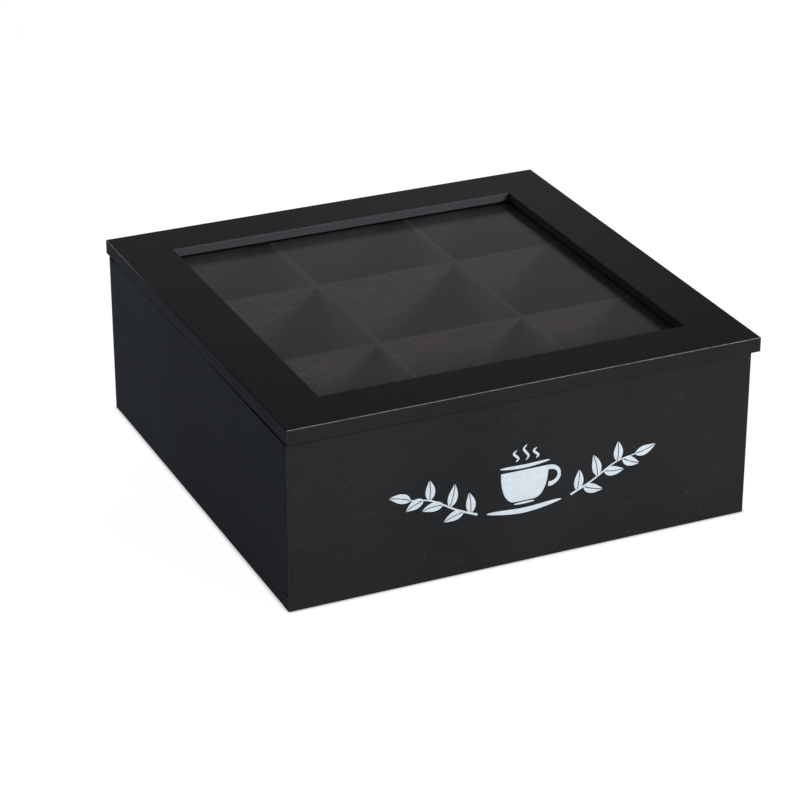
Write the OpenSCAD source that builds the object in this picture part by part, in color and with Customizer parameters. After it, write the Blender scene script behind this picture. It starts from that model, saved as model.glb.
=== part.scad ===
// Tea bag organizer box: a painted wooden box with nine square compartments and a hinged lid.
// The lid is a frame of four mitred rails round a clear pane.
// All sizes are in millimetres. The origin is on the table, under the middle of the lid.
// X runs from left to right along the front, Y from front to back and Z upwards.

/* [Lid] */
// Width of the lid, left to right
lid_w = 235; // [180:5:320]
// Depth of the lid, front to back
lid_d = 235; // [180:5:320]
// Thickness of the lid's rails
lid_t = 7.2; // [6.4:0.2:12]
// Width of the rails round the window
rail_w = 26; // [18:1:40]
// Radius of the lid's upper edges and upright corners
lid_edge_r = 0.7; // [0.4:0.1:1.6]
// Radius of the lid's lower outer edges
lid_foot_r = 0.4; // [0.2:0.1:1]
// Radius of the upper edge round the window
window_edge_r = 0.4; // [0.3:0.1:1.2]

/* [Lid overhang] */
// How far the lid reaches past the left wall
overhang_left = 0.2; // [0:0.1:5]
// How far the lid reaches past the right wall
overhang_right = 3.8; // [0:0.1:6]
// How far the lid reaches past the front wall
overhang_front = 1.5; // [0:0.1:6]
// How far the lid reaches past the back wall, over the hinge knuckles
overhang_back = 3.5; // [3.2:0.1:6]

/* [Box] */
// Height of the closed box, from the table to the top of the lid
total_h = 90; // [60:5:140]
// Thickness of the four walls
wall_t = 7; // [6.5:0.5:12]
// Gap between the top of the walls and the closed lid
lid_gap = 0.5; // [0.3:0.1:0.8]
// Radius of the box's upright outer corners
corner_r = 0.8; // [0.3:0.1:2]
// Radius of the edges along the top of the walls
rim_r = 0.5; // [0.2:0.1:1]
// Radius of the outer edges along the foot of the walls
foot_r = 0.4; // [0.2:0.1:1]

/* [Base] */
// Thickness of the base panel
base_t = 3; // [2:0.5:6]
// Height of the base panel's underside above the table
base_z = 6; // [3:0.5:15]
// Depth of the groove in the walls that holds the base panel
groove_depth = 3.5; // [2:0.5:4.5]
// Play between the edge of the base panel and the bottom of the groove
base_play = 0.3; // [0.1:0.1:0.8]

/* [Groove crack] */
// Length of the crack in the filler at the left end of the front wall's groove
crack_len = 5.3; // [2:0.1:6]
// Height of that crack
crack_h = 0.45; // [0.2:0.05:1]
// Depth of that crack
crack_depth = 0.8; // [0.3:0.1:1.5]

/* [Dividers] */
// Thickness of the divider slats
divider_t = 3; // [2:0.5:6]
// Distance from the top of the walls down to the top of the dividers
divider_drop = 0.3; // [0.1:0.1:20]
// Play between each end of a divider and the wall
divider_play = 0.2; // [0.1:0.1:0.8]
// Play of a divider in the half-lap slot of the divider that it crosses
lap_play = 0.1; // [0.05:0.05:0.4]
// Radius of the dividers' top edges
divider_edge_r = 0.4; // [0.1:0.1:0.8]

/* [Window] */
// Thickness of the clear pane
pane_t = 2; // [1.5:0.5:3]
// Width of the ledge that carries the pane
ledge_w = 5; // [3:0.5:8]
// Play between the edge of the pane and its rebate
pane_play = 0.25; // [0.1:0.05:0.6]

/* [Hinges] */
// Length of a hinge along its pin
hinge_len = 25; // [22:1:40]
// Distance between the middles of the two hinges
hinge_spacing = 130; // [80:5:150]
// Distance from the pin's axis to the far edge of a leaf
leaf_w = 6.2; // [5.6:0.1:6.6]
// Thickness of a leaf
leaf_t = 0.9; // [0.6:0.1:1.1]
// Radius of a leaf's far corners
leaf_corner_r = 0.8; // [0.3:0.1:1.5]
// Radius of the knuckles
knuckle_r = 1.8; // [1.6:0.1:2]
// Gap between two knuckles
knuckle_gap = 0.2; // [0.1:0.05:0.4]
// Radius of the hinge pin
pin_r = 0.8; // [0.6:0.05:1]
// Radial clearance of the pin in the lid leaf's knuckle
pin_clearance = 0.05; // [0.02:0.01:0.1]
// Distance of the pin's axis behind the back wall
pin_offset = 0.5; // [0.3:0.1:0.8]
// Clearance round the knuckles in the wood and in the other leaf
knuckle_clearance = 0.3; // [0.2:0.05:0.4]
// Play round a leaf in its mortise
mortise_play = 0.1; // [0.05:0.05:0.3]

/* [Screws] */
// Radius of the hinge screws' shank
screw_r = 0.8; // [0.6:0.05:0.9]
// Radius of the hinge screws' countersunk head
screw_head_r = 1.45; // [1.2:0.05:1.6]
// Distance between the two screws of a leaf
screw_spacing = 15; // [12:0.5:17]
// Length of the screws in the back wall
box_screw_len = 9; // [6:1:16]
// Length of the screws in the lid
lid_screw_len = 5.2; // [4:0.2:5.8]
// Length of a screw's point
screw_tip_len = 1.4; // [0.8:0.2:2]
// Width of the cross recess in a screw's head
recess_w = 0.4; // [0.3:0.05:0.5]
// Depth of the cross recess in a screw's head
recess_depth = 0.4; // [0.2:0.05:0.5]

/* [Hidden] */

// Compartments along each side
cells = 3;
// Knuckles on each hinge
knuckles = 3;
// How far a cutting shape runs past the face that it opens
over = 1;
// Radius at the very end of a screw's point
screw_end_r = 0.15;
$fn = 48;

paint = "#2a2b2c";
slat_paint = "#3c3a3b";
glass_tint = [0.8, 0.84, 0.85, 0.35];
steel = "#b9babd";

// Heights of the lid's underside and of the top of the walls
lid_z = total_h - lid_t;
box_h = lid_z - lid_gap;

// Outer faces of the box
box_x0 = -lid_w / 2 + overhang_left;
box_x1 = lid_w / 2 - overhang_right;
box_y0 = -lid_d / 2 + overhang_front;
box_y1 = lid_d / 2 - overhang_back;
box_w = box_x1 - box_x0;
box_d = box_y1 - box_y0;

// Space between the walls, and the compartments in it
inner_x0 = box_x0 + wall_t;
inner_y0 = box_y0 + wall_t;
inner_w = box_w - 2 * wall_t;
inner_d = box_d - 2 * wall_t;
cell_w = (inner_w - (cells - 1) * divider_t) / cells;
cell_d = (inner_d - (cells - 1) * divider_t) / cells;
floor_z = base_z + base_t;
divider_h = box_h - divider_drop - floor_z;

// Opening that the pane's rebate leaves in the underside of the lid
rebate_w = lid_w - 2 * (rail_w - ledge_w);
rebate_d = lid_d - 2 * (rail_w - ledge_w);

// Axis of the hinge pins, halfway up the gap under the lid
pin_y = box_y1 + pin_offset;
pin_z = box_h + lid_gap / 2;
knuckle_len = (hinge_len - (knuckles - 1) * knuckle_gap) / knuckles;
hinge_x = hinge_spacing / 2;

// Distance of the screws from the pin, in the middle of the leaf's flat part
screw_y = -(leaf_w + knuckle_r + knuckle_clearance) / 2;
screw_head_h = screw_head_r - screw_r;

// Where divider number i starts, counted from the left or the front wall
function divider_start(i, cell) = i * cell + (i - 1) * divider_t;

// Rectangle with its lower left corner at the origin and four radii, anticlockwise from there
module eased_rectangle(w, h, radii) {
    corners = [[0, 0], [w, 0], [w, h], [0, h]];
    difference() {
        square([w, h]);
        for (i = [0:3])
            if (radii[i] > 0)
                translate(corners[i]) rotate(90 * i) corner_waste(radii[i]);
    }
}

// What rounding a corner at the origin takes away
module corner_waste(r) {
    difference() {
        translate([-over, -over]) square(r + over);
        translate([r, r]) circle(r);
    }
}

// Bar along X: its profile's x runs along Y and its profile's y along Z
module bar_along_x(length) {
    rotate([90, 0, 90]) linear_extrude(length) children();
}

// Section of a wall, with its outer face at 0
module wall_profile() {
    eased_rectangle(wall_t, box_h, [foot_r, foot_r, rim_r, rim_r]);
}

// Front or back wall, the full width of the box, outer face at y = 0
module full_wall() {
    groove_x = wall_t - groove_depth;
    difference() {
        intersection() {
            bar_along_x(box_w) wall_profile();
            linear_extrude(box_h) eased_rectangle(box_w, wall_t, [corner_r, corner_r, 0, 0]);
        }
        translate([groove_x, groove_x, base_z])
            cube([box_w - 2 * groove_x, groove_depth + over, base_t]);
    }
}

// Side wall, glued between the front and the back wall, outer face at y = 0
module side_wall() {
    difference() {
        bar_along_x(inner_d) wall_profile();
        translate([-over, wall_t - groove_depth, base_z])
            cube([inner_d + 2 * over, groove_depth + over, base_t]);
    }
}

// Divider slat along X from 0, with two half-lap slots that start at the height slot_z
module divider(length, cell, slot_z) {
    slot_w = divider_t + lap_play;
    slot_h = (divider_h + lap_play) / 2;
    difference() {
        bar_along_x(length)
            eased_rectangle(divider_t, divider_h, [0, 0, divider_edge_r, divider_edge_r]);
        for (i = [1:cells - 1])
            translate([divider_start(i, cell) - divider_play - lap_play / 2, -over, slot_z])
                cube([slot_w, divider_t + 2 * over, slot_h + over]);
    }
}

// Divider from front to back, slotted from below so that its top edge runs through
module long_divider(i) {
    color(slat_paint)
        translate([inner_x0 + divider_start(i, cell_w) + divider_t, inner_y0 + divider_play, floor_z])
            rotate(90) divider(inner_d - 2 * divider_play, cell_d, -over);
}

// Divider from side to side, slotted from above
module cross_divider(i) {
    color(slat_paint)
        translate([inner_x0 + divider_play, inner_y0 + divider_start(i, cell_d), floor_z])
            divider(inner_w - 2 * divider_play, cell_w, (divider_h - lap_play) / 2);
}

// Section of a lid rail, with its outer face at 0 and the pane's rebate in its lower inner edge
module rail_profile() {
    difference() {
        eased_rectangle(rail_w, lid_t, [lid_foot_r, 0, window_edge_r, lid_edge_r]);
        translate([rail_w - ledge_w, -over]) square([ledge_w + over, pane_t + over]);
    }
}

// Lid rail along X, outer face at y = 0, mitred at both ends
module rail(length) {
    intersection() {
        bar_along_x(length) rail_profile();
        linear_extrude(lid_t) intersection() {
            eased_rectangle(length, 2 * rail_w, [lid_edge_r, lid_edge_r, 0, 0]);
            polygon([[0, 0], [length, 0], [length - rail_w, rail_w], [rail_w, rail_w]]);
        }
    }
}

// Cylinder along X with its middle at x
module barrel(x, length, r) {
    translate([x - length / 2, 0, 0]) rotate([0, 90, 0]) cylinder(h = length, r = r);
}

// The hinge modules are drawn round the pin's axis, with the leaf above it as on the lid.
// The leaf on the box is the mirror image.

// Places its children at both screws of a leaf, at the leaf's exposed face
module at_screws() {
    for (side = [-1, 1])
        translate([side * screw_spacing / 2, screw_y, lid_gap / 2]) children();
}

// Flat plate of a leaf with its two countersunk holes
module leaf_plate() {
    difference() {
        translate([-hinge_len / 2, -leaf_w, lid_gap / 2])
            linear_extrude(leaf_t)
                eased_rectangle(hinge_len, leaf_w, [leaf_corner_r, leaf_corner_r, 0, 0]);
        at_screws() {
            cylinder(h = screw_head_h, r1 = screw_head_r, r2 = screw_r);
            translate([0, 0, screw_head_h / 2]) cylinder(h = leaf_t + over, r = screw_r);
        }
    }
}

// Leaf screwed to the lid, with the middle knuckle, which turns on the pin
module lid_leaf() {
    side_len = (hinge_len - knuckle_len) / 2 + over;
    difference() {
        union() {
            difference() {
                leaf_plate();
                for (side = [-1, 1])
                    barrel(side * (knuckle_len + side_len) / 2, side_len,
                           knuckle_r + knuckle_clearance);
            }
            barrel(0, knuckle_len, knuckle_r);
        }
        barrel(0, hinge_len, pin_r + pin_clearance);
    }
}

// Leaf screwed to the box, with the two outer knuckles, which grip the pin
module box_leaf() {
    difference() {
        union() {
            difference() {
                leaf_plate();
                barrel(0, knuckle_len + 2 * knuckle_gap, knuckle_r + knuckle_clearance);
            }
            for (side = [-1, 1])
                barrel(side * (knuckle_len + knuckle_gap), knuckle_len, knuckle_r);
        }
        barrel(0, hinge_len + over, pin_r);
    }
}

// Countersunk screw that points along Z, with its head's face at z = 0
module screw(length) {
    difference() {
        union() {
            cylinder(h = screw_head_h, r1 = screw_head_r, r2 = screw_r);
            cylinder(h = length - screw_tip_len, r = screw_r);
            translate([0, 0, length - screw_tip_len])
                cylinder(h = screw_tip_len, r1 = screw_r, r2 = screw_end_r);
        }
        for (turn = [0, 90])
            rotate(turn)
                translate([-screw_r, -recess_w / 2, -over])
                    cube([2 * screw_r, recess_w, recess_depth + over]);
    }
}

// Wood cut away for one hinge: the leaf's mortise, the hollow round the knuckles, the screw holes
module hinge_seat(screw_len) {
    translate([-hinge_len / 2 - mortise_play, -leaf_w - mortise_play, lid_gap / 2 - over])
        cube([hinge_len + 2 * mortise_play, leaf_w + mortise_play, leaf_t + over]);
    barrel(0, hinge_len + 2 * knuckle_clearance, knuckle_r + knuckle_clearance);
    at_screws() cylinder(h = screw_len, r = screw_r);
}

// Puts the hinge modules on the left (-1) or the right (1) hinge
module at_hinge(side) {
    translate([side * hinge_x, pin_y, pin_z]) children();
}

// The mirror image about the pin's axis, for what is on the box
module on_box() {
    mirror([0, 0, 1]) children();
}

module base_panel() {
    reach = groove_depth - base_play;
    color(slat_paint)
        translate([inner_x0 - reach, inner_y0 - reach, base_z])
            cube([inner_w + 2 * reach, inner_d + 2 * reach, base_t]);
}

module front_panel() {
    color(paint)
        translate([box_x0, box_y0, 0])
            difference() {
                full_wall();
                translate([-over, wall_t - crack_len, floor_z - (base_t + crack_h) / 2])
                    cube([crack_depth + over, crack_len + over, crack_h]);
            }
}

module back_panel() {
    color(paint)
        difference() {
            translate([box_x1, box_y1, 0]) rotate(180) full_wall();
            for (side = [-1, 1])
                at_hinge(side) on_box() hinge_seat(box_screw_len);
        }
}

module left_panel() {
    color(paint)
        translate([box_x0, inner_y0 + inner_d, 0]) rotate(-90) side_wall();
}

module right_panel() {
    color(paint)
        translate([box_x1, inner_y0, 0]) rotate(90) side_wall();
}

module left_divider() {
    long_divider(1);
}

module right_divider() {
    long_divider(2);
}

module front_cross_divider() {
    cross_divider(1);
}

module back_cross_divider() {
    cross_divider(2);
}

module lid_front_rail() {
    color(paint)
        translate([-lid_w / 2, -lid_d / 2, lid_z]) rail(lid_w);
}

module lid_back_rail() {
    color(paint)
        difference() {
            translate([lid_w / 2, lid_d / 2, lid_z]) rotate(180) rail(lid_w);
            for (side = [-1, 1])
                at_hinge(side) hinge_seat(lid_screw_len);
        }
}

module lid_left_rail() {
    color(paint)
        translate([-lid_w / 2, lid_d / 2, lid_z]) rotate(-90) rail(lid_d);
}

module lid_right_rail() {
    color(paint)
        translate([lid_w / 2, -lid_d / 2, lid_z]) rotate(90) rail(lid_d);
}

module window_pane() {
    pane_w = rebate_w - 2 * pane_play;
    pane_d = rebate_d - 2 * pane_play;
    color(glass_tint)
        translate([-pane_w / 2, -pane_d / 2, lid_z]) cube([pane_w, pane_d, pane_t]);
}

module hinge_box_leaf(side) {
    color(steel) at_hinge(side) on_box() box_leaf();
}

module hinge_lid_leaf(side) {
    color(steel) at_hinge(side) lid_leaf();
}

module hinge_pin(side) {
    color(steel) at_hinge(side) barrel(0, hinge_len, pin_r);
}

module hinge_box_screws(side) {
    color(steel) at_hinge(side) on_box() at_screws() screw(box_screw_len);
}

module hinge_lid_screws(side) {
    color(steel) at_hinge(side) at_screws() screw(lid_screw_len);
}

base_panel();
front_panel();
back_panel();
left_panel();
right_panel();
left_divider();
right_divider();
front_cross_divider();
back_cross_divider();
lid_front_rail();
lid_back_rail();
lid_left_rail();
lid_right_rail();
window_pane();
hinge_box_leaf(-1);  // left_hinge_box_leaf
hinge_lid_leaf(-1);  // left_hinge_lid_leaf
hinge_pin(-1);  // left_hinge_pin
hinge_box_leaf(1);  // right_hinge_box_leaf
hinge_lid_leaf(1);  // right_hinge_lid_leaf
hinge_pin(1);  // right_hinge_pin
hinge_box_screws(-1);  // left_hinge_box_screws
hinge_lid_screws(-1);  // left_hinge_lid_screws
hinge_box_screws(1);  // right_hinge_box_screws
hinge_lid_screws(1);  // right_hinge_lid_screws
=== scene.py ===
import math

import bpy
import numpy as np
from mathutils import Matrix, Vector


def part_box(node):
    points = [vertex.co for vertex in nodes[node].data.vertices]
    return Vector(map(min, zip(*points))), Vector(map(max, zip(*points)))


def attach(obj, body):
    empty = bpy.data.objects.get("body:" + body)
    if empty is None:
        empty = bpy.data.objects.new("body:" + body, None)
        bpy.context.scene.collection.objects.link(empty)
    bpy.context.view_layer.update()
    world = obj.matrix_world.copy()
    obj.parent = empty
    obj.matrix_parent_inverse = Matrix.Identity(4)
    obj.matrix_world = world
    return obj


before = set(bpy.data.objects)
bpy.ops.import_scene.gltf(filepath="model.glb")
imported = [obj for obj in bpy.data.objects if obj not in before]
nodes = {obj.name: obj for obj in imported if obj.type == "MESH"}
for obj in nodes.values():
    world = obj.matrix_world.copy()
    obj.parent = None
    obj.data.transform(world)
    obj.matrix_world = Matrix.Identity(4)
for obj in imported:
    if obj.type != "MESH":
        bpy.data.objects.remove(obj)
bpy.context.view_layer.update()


# Base panel
# A thin board that slides into a groove round the foot of the four walls before they are glued.
# It has the thin black paint of the compartments, through which the grain still shows.
INSIDE_BLACK = (0.0257, 0.0224, 0.0231, 1)
INSIDE_STREAK = (0.0620, 0.0555, 0.0565, 1)
INSIDE_STROKES = (0.52, 0.36, 260.0)
INSIDE_GLOSS = 0.03
# Cells of noise in a metre, across the grain and along it, and the depth of the relief in metres.
FIBRES_ACROSS, FIBRES_ALONG = 1500.0, 70.0
LINES_ACROSS = 2200.0
PATCHES_ACROSS, PATCHES_ALONG = 110.0, 40.0
CLOUDS, DIMPLES = 14.0, 1300.0
PAINT_RELIEF = 0.0001


def add(tree, kind, *values, **settings):
    """Adds a shader node, sets its named properties, and fills its inputs in order, None skipping one."""
    made = tree.nodes.new("ShaderNode" + kind)
    for name, value in settings.items():
        setattr(made, name, value)
    for socket, value in zip(made.inputs, values):
        if isinstance(value, bpy.types.NodeSocket):
            tree.links.new(value, socket)
        elif value is not None:
            socket.default_value = value
    return made


def new_finish(name):
    """An empty material with its Principled shader and the piece's own coordinates."""
    finish = bpy.data.materials.new(name)
    finish.use_nodes = True
    tree = finish.node_tree
    return finish, tree, tree.nodes["Principled BSDF"], add(tree, "TexCoord")


def noise(tree, where, cells, detail=3.0, roughness=0.55):
    """Noise from 0 to 1, of so many cells per metre: one number, or one each along X, Y and Z."""
    spread = add(tree, "Mapping", where, vector_type="POINT")
    spread.inputs["Scale"].default_value = [cells] * 3 if isinstance(cells, float) else cells
    made = add(tree, "TexNoise", spread.outputs[0])
    made.inputs["Scale"].default_value = 1.0
    made.inputs["Detail"].default_value = detail
    made.inputs["Roughness"].default_value = roughness
    return made.outputs["Fac"]


def ramp(tree, value, low, high, out_low=0.0, out_high=1.0):
    """Smooth step: out_low below low, out_high above high, an S-curve between."""
    made = add(tree, "MapRange", value, low, high, out_low, out_high)
    made.interpolation_type = "SMOOTHSTEP"
    return made.outputs[0]


def math_node(tree, operation, a, b=None):
    """One arithmetic step on one or two values."""
    return add(tree, "Math", a, b, operation=operation).outputs[0]


def product(tree, *factors):
    """All the factors multiplied together."""
    result = factors[0]
    for factor in factors[1:]:
        result = math_node(tree, "MULTIPLY", result, factor)
    return result


def blend(tree, factor, a, b):
    """Colour a where the factor is 0 and b where it is 1."""
    return add(tree, "MixRGB", factor, a, b).outputs[0]


def shade(tree, strength, colour):
    """A colour multiplied by a strength."""
    return add(tree, "HueSaturation", 0.5, 1.0, strength, 1.0, colour).outputs[0]


def emboss(tree, shader, height, strength, depth):
    """Bends a shader's normal by a height from 0 to 1, over a depth in metres."""
    bump = add(tree, "Bump")
    bump.inputs["Strength"].default_value = strength
    bump.inputs["Distance"].default_value = depth
    tree.links.new(height, bump.inputs["Height"])
    tree.links.new(bump.outputs[0], shader.inputs["Normal"])


def black_paint(name, grain, ground, streak, strokes, gloss, raised=0.35):
    """Black paint rolled over fine-grained board.

    The grain runs along the axis named by grain: noise drawn out along it is bent into raised fibres.
    Strokes are the noise level past which a fibre shows through in the streak colour, the level of the
    wider patches that have such fibres, and how many fit in a metre of grain. Clouds vary the coat, and
    a fine dimple comes from the roller. Raised is how strongly the relief shows.
    """
    finish, tree, shader, place = new_finish(name)
    where = place.outputs["Object"]
    thin_from, patch_from, per_metre = strokes

    def drawn_out(across, along_grain, detail):
        cells = [across] * 3
        cells["xyz".index(grain)] = along_grain
        return noise(tree, where, cells, detail)

    fibres = drawn_out(FIBRES_ACROSS, FIBRES_ALONG, 4.0)
    lines = drawn_out(LINES_ACROSS, per_metre, 2.0)
    patches = drawn_out(PATCHES_ACROSS, PATCHES_ALONG, 2.0)
    clouds = noise(tree, where, CLOUDS, 2.0)
    thin = product(tree, ramp(tree, lines, thin_from, thin_from + 0.14),
                   ramp(tree, patches, patch_from, patch_from + 0.18))
    coat = math_node(tree, "ADD", ramp(tree, clouds, 0.3, 0.7, -0.10, 0.10),
                     ramp(tree, fibres, 0.25, 0.75, 0.93, 1.07))
    tree.links.new(blend(tree, thin, shade(tree, coat, ground), streak), shader.inputs["Base Color"])
    relief = math_node(tree, "ADD", product(tree, fibres, 0.7),
                       product(tree, noise(tree, where, DIMPLES, 2.0), 0.3))
    relief = math_node(tree, "ADD", relief, product(tree, thin, 0.8))
    emboss(tree, shader, relief, raised, PAINT_RELIEF)
    tree.links.new(ramp(tree, fibres, 0.2, 0.8, 0.65, 0.75), shader.inputs["Roughness"])
    shader.inputs["Specular IOR Level"].default_value = gloss
    return finish


def coat_with(finish, *names):
    """Gives CAD pieces their finish."""
    for name in names:
        nodes[name].data.materials.clear()
        nodes[name].data.materials.append(finish)


coat_with(black_paint("base_black", "x", INSIDE_BLACK, INSIDE_STREAK, INSIDE_STROKES, INSIDE_GLOSS),
          "base_panel")


# Four walls
# Boards 7 mm thick, glued at the corners: the front and the back one cover the ends of the side ones.
# Rolled in satin black, with the grain along each board. The faces towards the compartments are
# darker as painted shade, the side boards and the boards' ends have a lighter, bluer tone as painted
# light, the upright corners carry a painted highlight, and a painted shadow of the lid runs below the
# walls' top. The filler of the base's groove has cracked at the front board's left end, and the crack
# is painted black as painted shade.
WALL_BLACK = (0.0187, 0.0198, 0.0213, 1)
SIDE_WALL_LIT_BLACK = (0.0222, 0.0255, 0.0328, 1)
INSIDE_WALL_SHADE = (0.0145, 0.0119, 0.0125, 1)
WALL_STREAK = (0.0480, 0.0500, 0.0520, 1)
WALL_EDGE_HIGHLIGHT = (0.0850, 0.0890, 0.0930, 1)
PAINTED_SHADE_BLACK = (0.0015, 0.0015, 0.0018, 1)
FRONT_STROKES, SIDE_STROKES = (0.60, 0.50, 260.0), (0.64, 0.50, 260.0)
WALL_GLOSS, WALL_RAISED = 0.01, 0.22
HIGHLIGHT_BREAKS = 420.0
# The painted shadow of the lid, a dark band below the walls' top: how deep it starts, how soft its
# edge is, where it ends and how deep.
LID_SHADOW_DEPTH, LID_SHADOW_SOFT = 0.0009, 0.0003
FRONT_SHADOW_END, FRONT_SHADOW_LAST = 0.080, 0.0001
SIDE_SHADOW_END, SIDE_SHADOW_LAST = 0.020, -0.0006
# The crack: how far in from the end it shows, and the place of its middle.
CRACK_DEPTH, CRACK_FROM_FRONT, CRACK_HEIGHT = 0.0009, 0.0043, 0.0075
CRACK_HALF_LENGTH, CRACK_HALF_HEIGHT = 0.0029, 0.0004
INNER_SLACK = 0.0005

box_left, box_front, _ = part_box("front_panel")[0]
box_right, _, wall_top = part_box("front_panel")[1]
box_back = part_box("back_panel")[1][1]
box_centre = (box_left + box_right) / 2, (box_front + box_back) / 2
wall_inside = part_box("right_panel")[0][0]
inner_reach = wall_inside - box_centre[0] + INNER_SLACK


def lay_over(finish, masks, colour, dull=None, share=1.0):
    """Lays a colour, and a roughness if given, over a finish by the product of masks and a share."""
    tree = finish.node_tree
    shader = tree.nodes["Principled BSDF"]
    amount = product(tree, share, *[mask(tree, tree.nodes["Texture Coordinate"]) for mask in masks])
    layers = {"Base Color": colour}
    if dull is not None:
        layers["Roughness"] = (dull, dull, dull, 1)
    for name, over in layers.items():
        socket = shader.inputs[name]
        tree.links.new(blend(tree, amount, socket.links[0].from_socket, over), socket)
    return finish


def position(tree, place, axis):
    """A point's coordinate along one axis, in metres."""
    return add(tree, "SeparateXYZ", place.outputs["Object"]).outputs[axis]


def normal_shares(tree, place):
    """The size of the normal's X and Y parts, and its signed Z part."""
    share = add(tree, "SeparateXYZ", place.outputs["Normal"])
    return [math_node(tree, "ABSOLUTE", share.outputs[i]) for i in range(2)] + [share.outputs[2]]


def broken_line(tree, place, bend):
    """A painted highlight along the middle of a rounded edge, broken by noise."""
    broken = noise(tree, place.outputs["Object"], HIGHLIGHT_BREAKS)
    return product(tree, ramp(tree, bend, 0.40, 0.49), ramp(tree, broken, 0.30, 0.62, 0.5, 1.0))


def top_edges(tree, place):
    """The painted highlight on upper edges: the upward part of the normal times its larger sideways part.
    """
    x, y, z = normal_shares(tree, place)
    return broken_line(tree, place, product(tree, math_node(tree, "MAXIMUM", x, y), z))


def corners(tree, place):
    """The painted highlight on upright edges: the X part of the normal times its Y part."""
    x, y, _ = normal_shares(tree, place)
    return broken_line(tree, place, product(tree, x, y))


def distance_from(tree, place, axis, centre=0.0):
    """A point's distance from a centre along one axis, never negative."""
    return math_node(tree, "ABSOLUTE", math_node(tree, "SUBTRACT", position(tree, place, axis), centre))


def inner_face(axis):
    """A mask that is 1 on the boards' faces towards the compartments, and 0 farther from the centre."""
    def mask(tree, place):
        distance = distance_from(tree, place, axis, box_centre[axis])
        return math_node(tree, "LESS_THAN", distance, inner_reach)
    return mask


def facing_sideways(tree, place):
    """1 on the end faces of the front and back boards, where the normal runs along X."""
    return ramp(tree, normal_shares(tree, place)[0], 0.5, 0.9)


def groove_crack(tree, place):
    """1 within the crack's length and height at the left end of the front board, 0 elsewhere."""
    at_end = math_node(tree, "LESS_THAN", position(tree, place, 0), box_left + CRACK_DEPTH)
    for axis, middle, half in ((1, box_front + CRACK_FROM_FRONT, CRACK_HALF_LENGTH),
                               (2, CRACK_HEIGHT, CRACK_HALF_HEIGHT)):
        near = math_node(tree, "LESS_THAN", distance_from(tree, place, axis, middle), half)
        at_end = product(tree, at_end, near)
    return at_end


def lid_shadow_line(axis, start, end, first, last):
    """A painted shadow of the lid: a band below the walls' top faces, but not on them, whose depth goes
    from first to last along an axis between start and end."""
    def mask(tree, place):
        depth = ramp(tree, position(tree, place, axis), start, end, first, last)
        raised = math_node(tree, "ADD", position(tree, place, 2), depth)
        band = ramp(tree, raised, wall_top - LID_SHADOW_SOFT, wall_top)
        return product(tree, band, ramp(tree, normal_shares(tree, place)[2], 0.90, 0.99, 1.0, 0.0))
    return mask


wall_along_x = black_paint("wall_black_along_x", "x", WALL_BLACK, WALL_STREAK, FRONT_STROKES,
                           WALL_GLOSS, WALL_RAISED)
# The side boards' ground is a lighter, bluer copy of the black: painted light on the sides.
wall_along_y = black_paint("wall_black_along_y", "y", SIDE_WALL_LIT_BLACK, WALL_STREAK, SIDE_STROKES,
                           WALL_GLOSS, WALL_RAISED)
front_lid_shadow = lid_shadow_line(0, box_left, FRONT_SHADOW_END, LID_SHADOW_DEPTH, FRONT_SHADOW_LAST)
end_lid_shadow = lid_shadow_line(0, box_left, box_right, LID_SHADOW_DEPTH, 0.0)
side_lid_shadow = lid_shadow_line(1, box_front, SIDE_SHADOW_END, LID_SHADOW_DEPTH, SIDE_SHADOW_LAST)
# Painted shade: the front and back boards' faces towards the compartments are darker.
lay_over(wall_along_x, (inner_face(1),), INSIDE_WALL_SHADE)
# Painted light: the front and back boards' end faces take the side boards' lighter, bluer tone.
lay_over(wall_along_x, (facing_sideways,), SIDE_WALL_LIT_BLACK)
# Painted shade: the side boards' faces towards the compartments are darker too.
lay_over(wall_along_y, (inner_face(0),), INSIDE_WALL_SHADE)
# Painted shadow of the lid along the walls' top: a quarter share at the front, full on the ends and
# sides.
lay_over(wall_along_x, (front_lid_shadow,), PAINTED_SHADE_BLACK, share=0.25)
lay_over(wall_along_x, (facing_sideways, end_lid_shadow), PAINTED_SHADE_BLACK)
lay_over(wall_along_y, (side_lid_shadow,), PAINTED_SHADE_BLACK)
# Painted highlight along the upright corners of the boards.
for finish in (wall_along_x, wall_along_y):
    lay_over(finish, (corners,), WALL_EDGE_HIGHLIGHT, share=0.55)
# Painted shade: the crack cut in the front board's end is painted black.
lay_over(wall_along_x, (groove_crack,), PAINTED_SHADE_BLACK)
coat_with(wall_along_x, "front_panel", "back_panel")
coat_with(wall_along_y, "left_panel", "right_panel")


# Dividers
# Four 3 mm slats, half-lapped into a grid of nine compartments and stood on the base panel.
# The same thin inside paint, sanded paler on the top edges. Below the lid's rails the pale tops fade
# out as a painted shadow of the rails, and the long slats have a paler tone as painted light.
SANDED_TOP = (0.0360, 0.0322, 0.0330, 1)
RAIL_SHADOW_FROM, RAIL_SHADOW_TO = 0.088, 0.096
SANDING = 300.0
LONG_DIVIDER_LIT_BLACK = (0.0480, 0.0421, 0.0434, 1)


def facing_up(low, high):
    """A mask that is 0 where the normal's Z part is under low, and 1 where it is over high."""
    return lambda tree, place: ramp(tree, normal_shares(tree, place)[2], low, high)


def from_middle(tree, place):
    """The larger of the X and the Y distance from the middle of the lid."""
    return math_node(tree, "MAXIMUM", distance_from(tree, place, 0), distance_from(tree, place, 1))


def sanded_and_rail_shadow(tree, place):
    """Sandpaper's uneven bite, blotchy noise between a half and one, fading out below the rails as their
    painted shadow.
    """
    bite = ramp(tree, noise(tree, place.outputs["Object"], SANDING, 4.0), 0.3, 0.7, 0.5, 1.0)
    return product(tree, bite, ramp(tree, from_middle(tree, place), RAIL_SHADOW_FROM, RAIL_SHADOW_TO, 1.0, 0.0))


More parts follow.
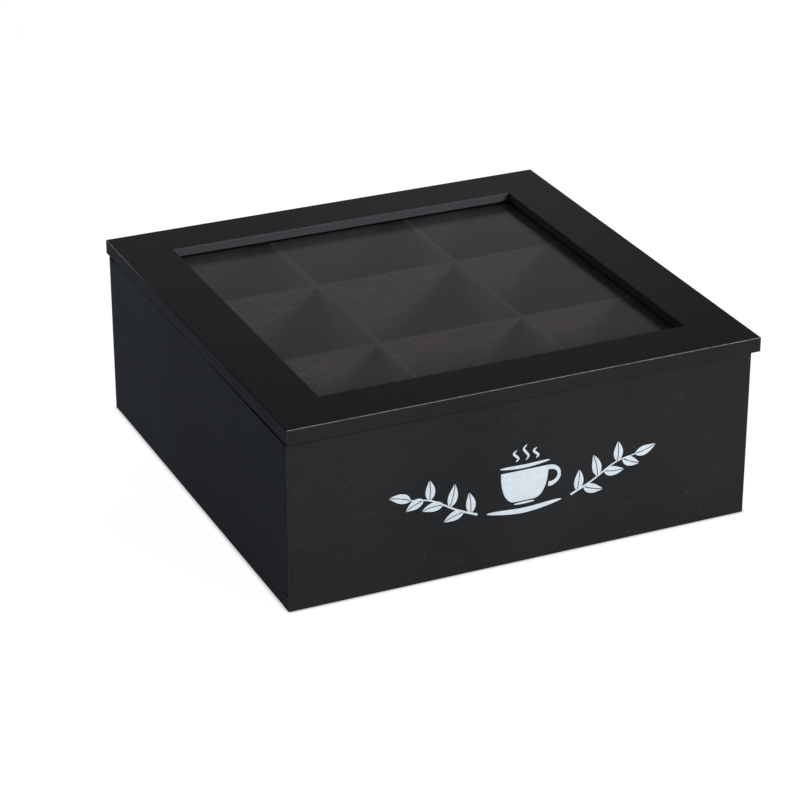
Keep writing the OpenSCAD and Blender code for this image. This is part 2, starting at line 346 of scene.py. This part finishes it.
# The long slats' paler tone is painted light on their faces; the cross slats keep the inside black.
for grain, black, pair in (("y", LONG_DIVIDER_LIT_BLACK, ("left_divider", "right_divider")),
                           ("x", INSIDE_BLACK, ("front_cross_divider", "back_cross_divider"))):
    finish = black_paint("divider_black_along_" + grain, grain, black, INSIDE_STREAK, INSIDE_STROKES,
                         INSIDE_GLOSS)
    coat_with(lay_over(finish, (facing_up(0.3, 0.7), sanded_and_rail_shadow), SANDED_TOP), *pair)


# Hinges
# Two small butt hinges let into the back wall and the lid, each with a leaf on either side of its pin.
# Rolled steel strip with satin nickel plating.
LEAF_NICKEL, PIN_NICKEL = (0.62, 0.61, 0.59, 1), (0.68, 0.67, 0.66, 1)
BRUSHED, BLOOM, SCRATCH_DEPTH = (120.0, 5200.0, 5200.0), 260.0, 0.00003


def nickel(name, colour, brush, dullness):
    """Plated steel, brushed along X: drawn-out noise cuts fine scratches and varies the dullness by the
    brush to either side."""
    finish, tree, shader, place = new_finish(name)
    where = place.outputs["Object"]
    scratches = noise(tree, where, BRUSHED)
    bloom = ramp(tree, noise(tree, where, BLOOM), 0.3, 0.7, 0.82, 1.05)
    tree.links.new(shade(tree, bloom, colour), shader.inputs["Base Color"])
    tree.links.new(ramp(tree, scratches, 0.3, 0.7, dullness - brush, dullness + brush),
                   shader.inputs["Roughness"])
    emboss(tree, shader, scratches, 0.2, SCRATCH_DEPTH)
    shader.inputs["Metallic"].default_value = 1.0
    return finish


leaf_nickel = nickel("leaf_nickel", LEAF_NICKEL, 0.08, 0.34)
pin_nickel = nickel("pin_nickel", PIN_NICKEL, 0.05, 0.24)
for side in ("left", "right"):
    coat_with(leaf_nickel, side + "_hinge_box_leaf", side + "_hinge_lid_leaf")
    coat_with(pin_nickel, side + "_hinge_pin")


# Hinge screws
# Small countersunk wood screws with a cross recess, two through each leaf.
# Nickel plated, brighter than the leaves.
SCREW_NICKEL = (0.70, 0.69, 0.67, 1)

screw_nickel = nickel("screw_nickel", SCREW_NICKEL, 0.06, 0.28)
for side in ("left", "right"):
    coat_with(screw_nickel, side + "_hinge_box_screws", side + "_hinge_lid_screws")


# Lid frame
# Four rails mitred and glued round the pane, filled and painted so that the joints don't show.
# The top is sanded smooth. Its darker, browner tone is painted shade, growing darker towards the front,
# and its upper arrises and upright corners carry painted highlights. Round the window the inner faces
# have tones of their own: painted light at the back, painted shade at the front, right and left, down
# to a painted shadow along the pane.
LID_SIDE_BLACK = (0.0168, 0.0175, 0.0187, 1)
LID_LEFT_SHADE_BLACK = (0.0130, 0.0154, 0.0212, 1)
LID_TOP_SHADE_BLACK = (0.0117, 0.0087, 0.0101, 1)
LID_FRONT_SHADE_BLACK = (0.0060, 0.0048, 0.0046, 1)
LID_STREAK = (0.0300, 0.0300, 0.0310, 1)
LID_EDGE_HIGHLIGHT = (0.2000, 0.2040, 0.2060, 1)
PANE_SHADE_BLACK = (0.0030, 0.0031, 0.0035, 1)
WINDOW_BACK_LIT = (0.0610, 0.0623, 0.0684, 1)
WINDOW_RIGHT_SHADE = (0.0138, 0.0141, 0.0172, 1)
LID_STROKES, LID_GLOSS = (0.66, 0.50, 260.0), 0.028
TOP_FACE = (0.93, 0.99)
LEVELLING = 320.0
BACK_CORNER_FROM, BACK_CORNER_TO = 0.03, 0.10
FRONT_EDGE = -0.115
# How far past the window's edge a face counts as inner, and how high the painted shadow along the
# pane stands.
WINDOW_SLACK, PANE_SHADE_HEIGHT, PANE_SHADE_SOFT = 0.0007, 0.0012, 0.0003

window_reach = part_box("lid_right_rail")[0][0] + WINDOW_SLACK
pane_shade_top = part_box("window_pane")[1][2] + PANE_SHADE_HEIGHT


def inside_window(tree, place):
    """1 where both the X and the Y distance from the middle are less than the window's, 0 elsewhere."""
    return math_node(tree, "LESS_THAN", from_middle(tree, place), window_reach)


def pane_shade_line(tree, place):
    """Painted shadow along the pane: 1 on the inner faces of the window from the pane up to the band's
    top, 0 elsewhere.
    """
    low_down = ramp(tree, position(tree, place, 2), pane_shade_top - PANE_SHADE_SOFT, pane_shade_top, 1.0, 0.0)
    return product(tree, low_down, inside_window(tree, place))


def outside_window(tree, place):
    """1 where inside_window is 0, and 0 where it is 1."""
    return math_node(tree, "SUBTRACT", 1.0, inside_window(tree, place))


def towards_front(tree, place):
    """0 behind the middle of the lid, rising to 1 at its front edge."""
    return ramp(tree, position(tree, place, 1), 0.0, FRONT_EDGE)


def near_back_corner(tree, place):
    """0 along the front two thirds of the left edge, rising to 1 at its back corner."""
    return ramp(tree, position(tree, place, 1), BACK_CORNER_FROM, BACK_CORNER_TO)


def levelled(tree, place):
    """How well the sanded top hides the coat below it: fine cloudy noise between four fifths and one."""
    cloudy = noise(tree, place.outputs["Object"], LEVELLING, 5.0, 0.7)
    return ramp(tree, cloudy, 0.35, 0.65, 0.80, 1.0)


def lid_paint(rail, grain, side_black, edge_masks, highlight_share, window_black=LID_LEFT_SHADE_BLACK):
    """The lid's paint on one rail: a top in painted shade, darker towards the front, inner faces round
    the window in a tone of their own, a painted shadow along the pane, and painted highlights on the
    edges by a share of their own."""
    finish = black_paint(rail + "_black", grain, side_black, LID_STREAK, LID_STROKES, LID_GLOSS)
    lay_over(finish, (inside_window,), window_black)
    # Painted shade: the top's darker, browner tone.
    lay_over(finish, (facing_up(*TOP_FACE), levelled), LID_TOP_SHADE_BLACK, dull=0.33)
    # Painted shade: the top grows darker towards the front.
    lay_over(finish, (facing_up(*TOP_FACE), towards_front), LID_FRONT_SHADE_BLACK, share=0.6)
    # Painted highlights on the chosen edges, and at a quarter share on the upright corners.
    lay_over(finish, edge_masks, LID_EDGE_HIGHLIGHT, share=highlight_share)
    lay_over(finish, (corners, outside_window), LID_EDGE_HIGHLIGHT, share=0.25)
    # Painted shadow along the pane.
    lay_over(finish, (pane_shade_line,), PANE_SHADE_BLACK)
    coat_with(finish, rail)


# Painted highlights on the upper arrises: full at the front, near the back corner on the left, fainter at
# the back and right.
lid_paint("lid_front_rail", "x", LID_SIDE_BLACK, (top_edges, outside_window), 1.0)
# The back rail's inner face is much paler: painted light standing in for a reflection.
lid_paint("lid_back_rail", "x", LID_SIDE_BLACK, (top_edges,), 0.4, WINDOW_BACK_LIT)
# The left rail's side, and by default the inner faces round the window, take a darker, bluer tone:
# painted shade.
lid_paint("lid_left_rail", "y", LID_LEFT_SHADE_BLACK, (top_edges, outside_window, near_back_corner), 0.9)
# The right rail's inner face has a tone set for its shade: painted shade.
lid_paint("lid_right_rail", "y", LID_SIDE_BLACK, (top_edges, outside_window), 0.2, WINDOW_RIGHT_SHADE)


# Window pane
# A clear pane bonded into the rebate on the underside of the lid frame.
# Smooth, with a faint film of dust; lamps shine through it into the compartments.
CLEAR_TINT, THROUGH_TINT = (0.99, 0.97, 0.978, 1), (0.96, 0.97, 0.97, 1)
DUST, WAVES, WAVE_DEPTH = 35.0, 18.0, 0.0002


def clear_pane(name):
    """Clear sheet, a little wavy, that lets shadow rays pass, so that what lies behind it is lit."""
    finish, tree, shader, place = new_finish(name)
    where = place.outputs["Object"]
    film = ramp(tree, noise(tree, where, DUST, 4.0), 0.3, 0.7, 0.97, 1.0)
    tree.links.new(shade(tree, film, CLEAR_TINT), shader.inputs["Base Color"])
    shader.inputs["Roughness"].default_value = 0.02
    shader.inputs["Transmission Weight"].default_value = 0.989
    shader.inputs["IOR"].default_value = 1.3
    emboss(tree, shader, noise(tree, where, WAVES, 1.0), 0.02, WAVE_DEPTH)
    lamp = add(tree, "LightPath").outputs["Is Shadow Ray"]
    opening = add(tree, "BsdfTransparent", THROUGH_TINT)
    both = add(tree, "MixShader", lamp, shader.outputs[0], opening.outputs[0])
    tree.links.new(both.outputs[0], tree.nodes["Material Output"].inputs["Surface"])
    return finish


coat_with(clear_pane("clear_pane"), "window_pane")


# Painted decoration
# A cup on its saucer between two leafy sprigs, stencilled on the front in one thin coat of white.
# The coat is a few hundredths of a millimetre proud, with soft shoulders, and rides on the box.
PAINT_WHITE = (0.585, 0.655, 0.715, 1)
FILM, SUNK, FILM_RELIEF = 0.00007, 0.00002, 0.00005
FULL_FILM_HALF_WIDTH = 0.0003
STROKE_STEPS, STROKE_POINTS = 48, 13
PRINT_THROUGH, MOTTLE, PINHOLES = (70.0, 1500.0, 1500.0), 160.0, 1900.0
# The cup stands upright on its saucer: each piece's heights and half width, and its brush, which is
# half the width of the stroke that draws it.
CUP_X = -0.0020
BODY_TOP, BODY_MIDDLE, BODY_FOOT = 0.0465, 0.0390, 0.0310
BODY_FOOT_HALF, BODY_FLARE, BODY_ROUNDING, BODY_POWER = 0.0047, 0.0072, 0.995, 2.6
RIM_HALF, RIM_END, RIM_MIDDLE, RIM_BRUSH = 0.0126, 0.0490, 0.0483, 0.0009
FOOT_HALF, FOOT_Z, FOOT_BRUSH = 0.0052, 0.0299, 0.00055
SAUCER_HALF, SAUCER_END, SAUCER_MIDDLE, SAUCER_BRUSH = 0.0190, 0.0278, 0.0260, 0.0013
HANDLE_X, HANDLE_Z, HANDLE_OUT, HANDLE_UP = 0.0128, 0.0410, 0.0047, 0.0042
HANDLE_FROM, HANDLE_TO = math.radians(105), math.radians(-100)
HANDLE_BRUSH, HANDLE_SWELL = 0.0008, 0.0004
STEAM_FROM, STEAM_SWAY, STEAM_LEAN, STEAM_BRUSH = 0.0512, 0.0012, 0.0004, 0.0006
STEAM_WISPS = ((-0.0045, 0.0570), (0.0005, 0.0590), (0.0055, 0.0566))
# The sprigs mirror each other: points of the stem from the cup's middle, and for each leaf its place
# along the stem, its lean from it in degrees and its length.
STEM = ((0.0235, 0.0288), (0.0340, 0.0335), (0.0460, 0.0405), (0.0570, 0.0430))
STEM_BRUSH, STEM_TAPER = 0.00055, 0.0003
LEAVES = ((0.12, 62, 0.0105), (0.22, -42, 0.0105), (0.42, 70, 0.0115), (0.52, -38, 0.0105),
          (0.70, 72, 0.0100), (0.78, -36, 0.0095), (0.98, 4, 0.0110))
LEAF_WIDTH, LEAF_CURL, RIB_GAP, FINEST_HALF = 0.0044, 0.35, 0.00018, 0.00002

panel_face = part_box("front_panel")[0][1]


def curve(points):
    """A smooth path through points, in even steps: a cubic between each two, whose slopes at the points
    come from their neighbours."""
    points = np.array(points, float)
    slopes = np.gradient(points, axis=0)
    at = np.linspace(0, len(points) - 1, STROKE_STEPS)
    left = np.minimum(at.astype(int), len(points) - 2)
    t = (at - left)[:, None]
    p0, p1, m0, m1 = points[left], points[left + 1], slopes[left], slopes[left + 1]
    return ((2 * t**3 - 3 * t**2 + 1) * p0 + (t**3 - 2 * t**2 + t) * m0
            + (-2 * t**3 + 3 * t**2) * p1 + (t**3 - t**2) * m1)


def stroke(path, half_width):
    """One closed brush stroke as corners and faces.

    Each step of the path carries a cross line: out to the half width on both sides, raised by the film
    times the square root of one less the fourth power of the share of the half width. A flat back, sunk
    a little into the board, and a flat cap at either end close it.
    """
    ahead = np.gradient(path, axis=0)
    ahead /= np.linalg.norm(ahead, axis=1)[:, None]
    across = np.stack([-ahead[:, 1], ahead[:, 0]], 1)
    share = np.sin(np.linspace(-np.pi / 2, np.pi / 2, STROKE_POINTS))
    flat = path[:, None] + across[:, None] * (half_width[:, None] * share)[..., None]
    film = FILM * np.minimum(1, half_width / FULL_FILM_HALF_WIDTH)
    raised = film[:, None] * np.sqrt(np.clip(1 - share**4, 0, 1))
    front = np.stack([flat[..., 0], panel_face - raised, flat[..., 1]], 2)
    rear = front[:, [-1, 0]].copy()
    rear[..., 1] = panel_face + SUNK
    rings = np.concatenate([front, rear], 1)
    steps, around = rings.shape[:2]
    index = np.arange(steps * around).reshape(steps, around)
    beside = np.roll(index, -1, 1)
    quads = np.stack([index[:-1], index[1:], beside[1:], beside[:-1]], 2).reshape(-1, 4)
    return rings.reshape(-1, 3), quads.tolist() + [index[0].tolist(), index[-1][::-1].tolist()]


def leaf(root, degrees, length):
    """Two half leaves on either side of a bare midrib, each widest two fifths of the way along."""
    along = np.linspace(0, 1, STROKE_STEPS)
    turn = math.radians(degrees) + LEAF_CURL * (along - 0.5)
    step = np.stack([np.cos(turn), np.sin(turn)], 1) * (length / STROKE_STEPS)
    rib = np.array(root) + np.cumsum(step, 0)
    side = np.stack([-np.sin(turn), np.cos(turn)], 1)
    half = np.maximum(LEAF_WIDTH / 4 * np.sin(np.pi * along**0.75), FINEST_HALF)
    return [stroke(rib + side * (hand * (RIB_GAP + half))[:, None], half) for hand in (-1, 1)]


def painted(name, strokes):
    """One white piece of several strokes, its faces turned outwards."""
    vertices, faces, start = [], [], 0
    for points, polygons in strokes:
        vertices.append(points)
        faces += [[start + i for i in polygon] for polygon in polygons]
        start += len(points)
    mesh = bpy.data.meshes.new(name)
    mesh.from_pydata(np.concatenate(vertices).tolist(), [], faces)
    mesh.shade_smooth()
    mesh.materials.append(stencil_white)
    piece = bpy.data.objects.new(name, mesh)
    bpy.context.scene.collection.objects.link(piece)
    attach(piece, "box")


stencil_white, tree, shader, place = new_finish("stencil_white")
where = place.outputs["Object"]
grain_below = noise(tree, where, PRINT_THROUGH, 4.0)
mottle = noise(tree, where, MOTTLE)
tone = product(tree, ramp(tree, mottle, 0.3, 0.7, 0.95, 1.03),
               ramp(tree, grain_below, 0.25, 0.75, 0.96, 1.03))
pinholes = ramp(tree, noise(tree, where, PINHOLES, 1.0), 0.76, 0.80, 0.0, 0.6)
tree.links.new(blend(tree, pinholes, shade(tree, tone, PAINT_WHITE), WALL_STREAK),
               shader.inputs["Base Color"])
emboss(tree, shader, grain_below, 0.3, FILM_RELIEF)
tree.links.new(ramp(tree, mottle, 0.3, 0.7, 0.55, 0.66), shader.inputs["Roughness"])
shader.inputs["Specular IOR Level"].default_value = 0.2

share = np.linspace(0, 1, STROKE_STEPS)
bulge = np.sqrt(np.clip(1 - (2 * share - 1)**2, 0.0004, 1))


def bow(half, end_z, middle_z):
    """A shallow line across the cup, with its ends at one height and its middle at another."""
    return curve([(CUP_X - half, end_z), (CUP_X, middle_z), (CUP_X + half, end_z)])


# The body narrows downwards: half its foot, and the flare times the square root of one less the
# rounding times a power of the share of its depth.
body = curve([(CUP_X, BODY_TOP), (CUP_X, BODY_MIDDLE), (CUP_X, BODY_FOOT)])
body_half = BODY_FOOT_HALF + BODY_FLARE * np.sqrt(1 - BODY_ROUNDING * share**BODY_POWER)
turn = np.linspace(HANDLE_FROM, HANDLE_TO, STROKE_STEPS)
handle = np.stack([CUP_X + HANDLE_X + HANDLE_OUT * np.cos(turn), HANDLE_Z + HANDLE_UP * np.sin(turn)], 1)
cup = [
    stroke(body, body_half),
    stroke(bow(RIM_HALF, RIM_END, RIM_MIDDLE), RIM_BRUSH * bulge),
    stroke(bow(FOOT_HALF, FOOT_Z, FOOT_Z), FOOT_BRUSH * bulge),
    stroke(bow(SAUCER_HALF, SAUCER_END, SAUCER_MIDDLE), SAUCER_BRUSH * bulge),
    stroke(handle, HANDLE_BRUSH + HANDLE_SWELL * np.abs(2 * share - 1)),
]
for shift, top in STEAM_WISPS:
    x, mid = CUP_X + shift, (STEAM_FROM + top) / 2
    wisp = curve([(x, STEAM_FROM), (x + STEAM_SWAY, (STEAM_FROM + mid) / 2), (x, mid),
                  (x - STEAM_SWAY, (mid + top) / 2), (x + STEAM_LEAN, top)])
    cup.append(stroke(wisp, STEAM_BRUSH * bulge))
painted("painted_cup", cup)

for name, hand in (("painted_left_sprig", -1), ("painted_right_sprig", 1)):
    stem = curve([(CUP_X + hand * out, z) for out, z in STEM])
    sprig = [stroke(stem, STEM_BRUSH - STEM_TAPER * share)]
    for place_on_stem, lean, length in LEAVES:
        at = min(int(place_on_stem * STROKE_STEPS), STROKE_STEPS - 2)
        ahead = stem[at + 1] - stem[at]
        heading = math.degrees(math.atan2(ahead[1], ahead[0]))
        sprig += leaf(stem[at], heading + hand * lean, length)
    painted(name, sprig)


# Studio
# A white table in a white room with a dim, slightly warm ceiling. A soft lamp lights the box from the
# front right, a small one stands close behind the back left corner, and a faint one, low behind the
# back right corner, gives the lid its sheen.
TABLE_SIZE = 12.0
ROOM_LIGHT = (0.28, 0.28, 0.28, 1)
WALLS, CEILING = (1, 1, 1, 1), (0.150, 0.135, 0.140, 1)
CEILING_FROM, CEILING_TO = 0.12, 0.42
TABLE_WHITE, TABLE_SEEN = (0.9, 0.9, 0.9, 1), (0.12, 0.12, 0.12, 1)
TABLE_GLOW = 0.95
CONTACT_REACH = 0.0021
SHEEN_COLOUR = (1.0, 0.90, 1.06)


def seen_directly(tree):
    """1 for rays that see a thing, straight, mirrored or through glass, and 0 for rays that light it."""
    rays = add(tree, "LightPath").outputs
    mirrored = math_node(tree, "MAXIMUM", rays["Is Camera Ray"], rays["Is Glossy Ray"])
    return math_node(tree, "MAXIMUM", mirrored, rays["Is Transmission Ray"])


room = bpy.data.worlds.new("white_room")
room.use_nodes = True
air = room.node_tree
backdrop = air.nodes["Background"]
height = add(air, "SeparateXYZ", add(air, "TexCoord").outputs["Generated"]).outputs[2]
seen = blend(air, ramp(air, height, CEILING_FROM, CEILING_TO), WALLS, CEILING)
air.links.new(blend(air, seen_directly(air), ROOM_LIGHT, seen), backdrop.inputs["Color"])
bpy.context.scene.world = room

half = TABLE_SIZE / 2
table_mesh = bpy.data.meshes.new("table")
table_mesh.from_pydata([(-half, -half, 0), (half, -half, 0), (half, half, 0), (-half, half, 0)], [],
                       [(0, 1, 2, 3)])
table = bpy.data.objects.new("table", table_mesh)
bpy.context.scene.collection.objects.link(table)
white, tree, shader, _ = new_finish("white_table")
shown = seen_directly(tree)
tree.links.new(blend(tree, shown, TABLE_WHITE, TABLE_SEEN), shader.inputs["Base Color"])
shader.inputs["Roughness"].default_value = 0.9
shader.inputs["Specular IOR Level"].default_value = 0.0
glow = add(tree, "Emission", (1, 1, 1, 1))
contact = add(tree, "AmbientOcclusion", None, CONTACT_REACH).outputs["AO"]
tree.links.new(product(tree, contact, TABLE_GLOW, shown), glow.inputs["Strength"])
lit = add(tree, "AddShader", shader.outputs[0], glow.outputs[0])
tree.links.new(lit.outputs[0], tree.nodes["Material Output"].inputs["Surface"])
table_mesh.materials.append(white)


def soft_lamp(name, toward, distance, size, watts, colour=(1, 1, 1), mirrored=True):
    """A square lamp at a distance from the box in the given direction, turned to face it. One that isn't
    mirrored shows neither in the pane nor in the gloss."""
    data = bpy.data.lights.new(name, "AREA")
    data.size, data.energy, data.color = size, watts, colour
    lamp = bpy.data.objects.new(name, data)
    lamp.location = Vector(toward).normalized() * distance
    lamp.rotation_euler = Vector(toward).to_track_quat("Z", "Y").to_euler()
    lamp.visible_glossy = lamp.visible_transmission = mirrored
    bpy.context.scene.collection.objects.link(lamp)


soft_lamp("front_right_lamp", (0.40, -0.85, 0.42), distance=1.6, size=0.35, watts=19.6, mirrored=False)
soft_lamp("back_left_lamp", (-0.25, 0.35, 0.22), distance=0.483, size=0.2, watts=0.72, mirrored=False)
soft_lamp("sheen_lamp", (0.44, 0.86, 0.21), distance=1.2, size=0.3, watts=0.155, colour=SHEEN_COLOUR)


# Camera
# Looks at the box from the front left and a little above, through a long lens.
# It is turned towards the box and not shifted, so uprights converge a little downwards.
LENS_MM, SENSOR_MM = 129.5, 36.0
NEAREST, FARTHEST = 0.05, 50.0
AZIMUTH, ELEVATION = math.radians(-24.39), math.radians(25.62)
AIM = Vector((-0.0115, -0.0012, 0.0329))
DISTANCE = 1.389

back = Vector((math.sin(AZIMUTH) * math.cos(ELEVATION),
               -math.cos(AZIMUTH) * math.cos(ELEVATION), math.sin(ELEVATION)))
view = bpy.data.cameras.new("camera")
view.lens, view.sensor_width = LENS_MM, SENSOR_MM
view.clip_start, view.clip_end = NEAREST, FARTHEST
camera = bpy.data.objects.new("camera", view)
camera.location = AIM + back * DISTANCE
camera.rotation_euler = back.to_track_quat("Z", "Y").to_euler()
bpy.context.scene.collection.objects.link(camera)
bpy.context.scene.camera = camera

bpy.context.scene.view_settings.view_transform = "Standard"
